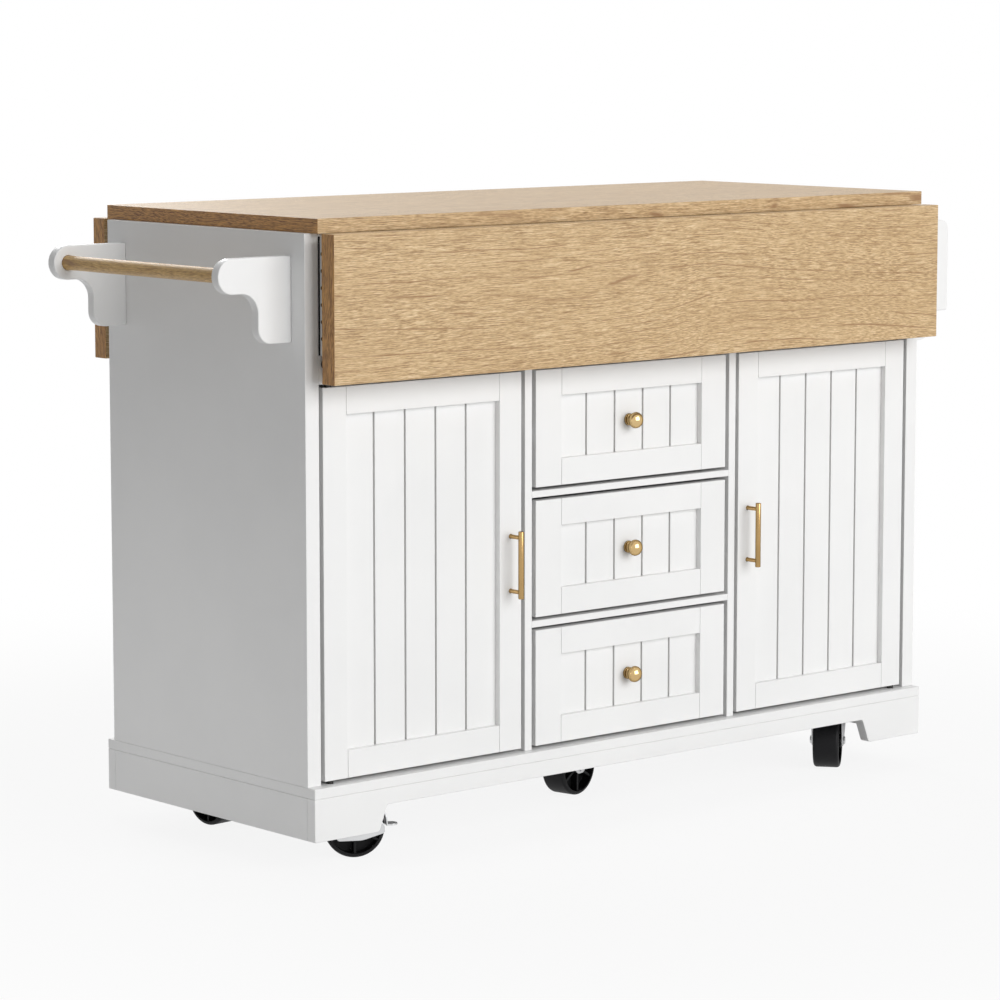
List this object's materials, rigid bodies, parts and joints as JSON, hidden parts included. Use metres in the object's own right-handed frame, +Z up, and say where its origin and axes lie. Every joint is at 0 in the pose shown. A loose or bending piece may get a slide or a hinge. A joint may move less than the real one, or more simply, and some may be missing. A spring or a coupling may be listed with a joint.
{
  "type": "rolling kitchen island",
  "caption": "Painted kitchen island on swivel casters with an oak worktop, hanging drop leaves, framed doors and drawers, a towel bar and a side rack.",
  "frame": {"origin": "on the floor under the middle of the cabinet", "axes": "+X to the right along the length, +Y to the back, +Z up; the doors and drawers face -Y"},
  "size_m": [1.504, 0.5762, 0.931],
  "materials": {
    "oak": "satin oak-faced board",
    "oak_dowel": "satin oak",
    "white_paint": "satin white paint on board",
    "white_lining": "smooth white-faced board",
    "brass": "polished",
    "hinge_steel": "blackened steel",
    "pin_steel": "zinc plated",
    "runner_steel": "zinc plated",
    "support_steel": "white powder coat",
    "tip_rubber": "matte",
    "caster_steel": "zinc plated",
    "wheel_plastic": "moulded, satin"
  },
  "bodies": {
    "cabinet": {"worktop": "oak", "side_panels": "white_paint", "partitions": "white_paint", "back_panel": "white_paint", "front_fascia": "white_paint", "drawer_dividers": "white_paint", "cupboard_shelves": "white_lining", "shelf_pins": "pin_steel", "base_board": "white_paint", "front_skirt": "white_paint", "rear_skirt": "white_paint", "end_skirts": "white_paint", "door_bushes": "pin_steel", "runner_channels": "runner_steel", "leaf_hinge_plates": "hinge_steel", "support_channels": "support_steel", "towel_brackets": "white_paint", "towel_bar": "oak_dowel", "spice_rack_ends": "white_paint", "spice_rack_boards": "white_paint", "caster_plates": "caster_steel"},
    "front_leaf": {"front_leaf": "oak", "front_leaf_flaps": "hinge_steel"},
    "front_supports": {"front_support_arms": "support_steel", "front_arm_tips": "tip_rubber"},
    "rear_leaf": {"rear_leaf": "oak", "rear_leaf_flaps": "hinge_steel"},
    "rear_supports": {"rear_support_arms": "support_steel", "rear_arm_tips": "tip_rubber"},
    "left_door": {"left_door": "white_paint", "left_door_handle": "brass", "left_door_pivots": "pin_steel"},
    "right_door": {"right_door": "white_paint", "right_door_handle": "brass", "right_door_pivots": "pin_steel"},
    "bottom_drawer": {"bottom_drawer_front": "white_paint", "bottom_drawer_box": "white_lining", "bottom_drawer_rails": "runner_steel", "bottom_drawer_knob": "brass"},
    "middle_drawer": {"middle_drawer_front": "white_paint", "middle_drawer_box": "white_lining", "middle_drawer_rails": "runner_steel", "middle_drawer_knob": "brass"},
    "top_drawer": {"top_drawer_front": "white_paint", "top_drawer_box": "white_lining", "top_drawer_rails": "runner_steel", "top_drawer_knob": "brass"},
    "front_left_fork": {"front_left_caster_fork": "caster_steel"},
    "front_left_wheel": {"front_left_caster_wheel": "wheel_plastic"},
    "front_left_pedal": {"front_left_brake_pedal": "caster_steel"},
    "front_right_fork": {"front_right_caster_fork": "caster_steel"},
    "front_right_wheel": {"front_right_caster_wheel": "wheel_plastic"},
    "rear_left_fork": {"rear_left_caster_fork": "caster_steel"},
    "rear_left_wheel": {"rear_left_caster_wheel": "wheel_plastic"},
    "rear_right_fork": {"rear_right_caster_fork": "caster_steel"},
    "rear_right_wheel": {"rear_right_caster_wheel": "wheel_plastic"},
    "rear_right_pedal": {"rear_right_brake_pedal": "caster_steel"},
    "middle_fork": {"middle_caster_fork": "caster_steel"},
    "middle_wheel": {"middle_caster_wheel": "wheel_plastic"}
  },
  "joints": [
    {"name": "front_leaf_lift", "type": "hinge", "parent": "cabinet", "child": "front_leaf", "pos_m": [0, -0.2601, 0.903], "axis": [-1, 0, 0], "range_deg": [0, 90]},
    {"name": "front_support_swing", "type": "hinge", "parent": "cabinet", "child": "front_supports", "pos_m": [0, -0.243, 0.8336], "axis": [-1, 0, 0], "range_deg": [0, 125.82]},
    {"name": "rear_leaf_lift", "type": "hinge", "parent": "cabinet", "child": "rear_leaf", "pos_m": [0, 0.2601, 0.903], "axis": [1, 0, 0], "range_deg": [0, 90]},
    {"name": "rear_support_swing", "type": "hinge", "parent": "cabinet", "child": "rear_supports", "pos_m": [0, 0.243, 0.8336], "axis": [1, 0, 0], "range_deg": [0, 125.82]},
    {"name": "left_door_hinge", "type": "hinge", "parent": "cabinet", "child": "left_door", "pos_m": [-0.58, -0.229, 0.127], "axis": [0, 0, -1], "range_deg": [0, 110]},
    {"name": "right_door_hinge", "type": "hinge", "parent": "cabinet", "child": "right_door", "pos_m": [0.58, -0.229, 0.127], "axis": [0, 0, 1], "range_deg": [0, 110]},
    {"name": "bottom_drawer_slide", "type": "slide", "parent": "cabinet", "child": "bottom_drawer", "axis": [0, -1, 0], "range_m": [0, 0.32]},
    {"name": "middle_drawer_slide", "type": "slide", "parent": "cabinet", "child": "middle_drawer", "axis": [0, -1, 0], "range_m": [0, 0.32]},
    {"name": "top_drawer_slide", "type": "slide", "parent": "cabinet", "child": "top_drawer", "axis": [0, -1, 0], "range_m": [0, 0.32]},
    {"name": "front_left_swivel", "type": "hinge", "parent": "cabinet", "child": "front_left_fork", "pos_m": [-0.513, -0.158, 0.1047], "axis": [0, 0, 1], "continuous": true},
    {"name": "front_left_roll", "type": "hinge", "parent": "front_left_fork", "child": "front_left_wheel", "pos_m": [-0.49126, -0.17035, 0.044], "axis": [0.4939, 0.8695, 0], "continuous": true},
    {"name": "front_left_brake", "type": "hinge", "parent": "front_left_fork", "child": "front_left_pedal", "pos_m": [-0.48371, -0.17464, 0.09324], "axis": [0.4939, 0.8695, 0], "range_deg": [0, 3.5]},
    {"name": "front_right_swivel", "type": "hinge", "parent": "cabinet", "child": "front_right_fork", "pos_m": [0.513, -0.158, 0.1047], "axis": [0, 0, 1], "continuous": true},
    {"name": "front_right_roll", "type": "hinge", "parent": "front_right_fork", "child": "front_right_wheel", "pos_m": [0.49357, -0.17373, 0.044], "axis": [0.6293, -0.7771, 0], "continuous": true},
    {"name": "rear_left_swivel", "type": "hinge", "parent": "cabinet", "child": "rear_left_fork", "pos_m": [-0.513, 0.158, 0.1047], "axis": [0, 0, 1], "continuous": true},
    {"name": "rear_left_roll", "type": "hinge", "parent": "rear_left_fork", "child": "rear_left_wheel", "pos_m": [-0.51082, 0.13309, 0.044], "axis": [0.9962, 0.0872, 0], "continuous": true},
    {"name": "rear_right_swivel", "type": "hinge", "parent": "cabinet", "child": "rear_right_fork", "pos_m": [0.513, 0.158, 0.1047], "axis": [0, 0, 1], "continuous": true},
    {"name": "rear_right_roll", "type": "hinge", "parent": "rear_right_fork", "child": "rear_right_wheel", "pos_m": [0.5255, 0.13635, 0.044], "axis": [0.866, 0.5, 0], "continuous": true},
    {"name": "rear_right_brake", "type": "hinge", "parent": "rear_right_fork", "child": "rear_right_pedal", "pos_m": [0.52984, 0.12883, 0.09324], "axis": [0.866, 0.5, 0], "range_deg": [0, 3.5]},
    {"name": "middle_swivel", "type": "hinge", "parent": "cabinet", "child": "middle_fork", "pos_m": [0.012, -0.058, 0.1047], "axis": [0, 0, 1], "continuous": true},
    {"name": "middle_roll", "type": "hinge", "parent": "middle_fork", "child": "middle_wheel", "pos_m": [0.03645, -0.0528, 0.044], "axis": [-0.2079, 0.9781, 0], "continuous": true}
  ],
  "couplings": [
    {"joint": "front_support_swing", "follows": "front_leaf_lift", "ratio": 1.3978},
    {"joint": "rear_support_swing", "follows": "rear_leaf_lift", "ratio": 1.3978}
  ]
}
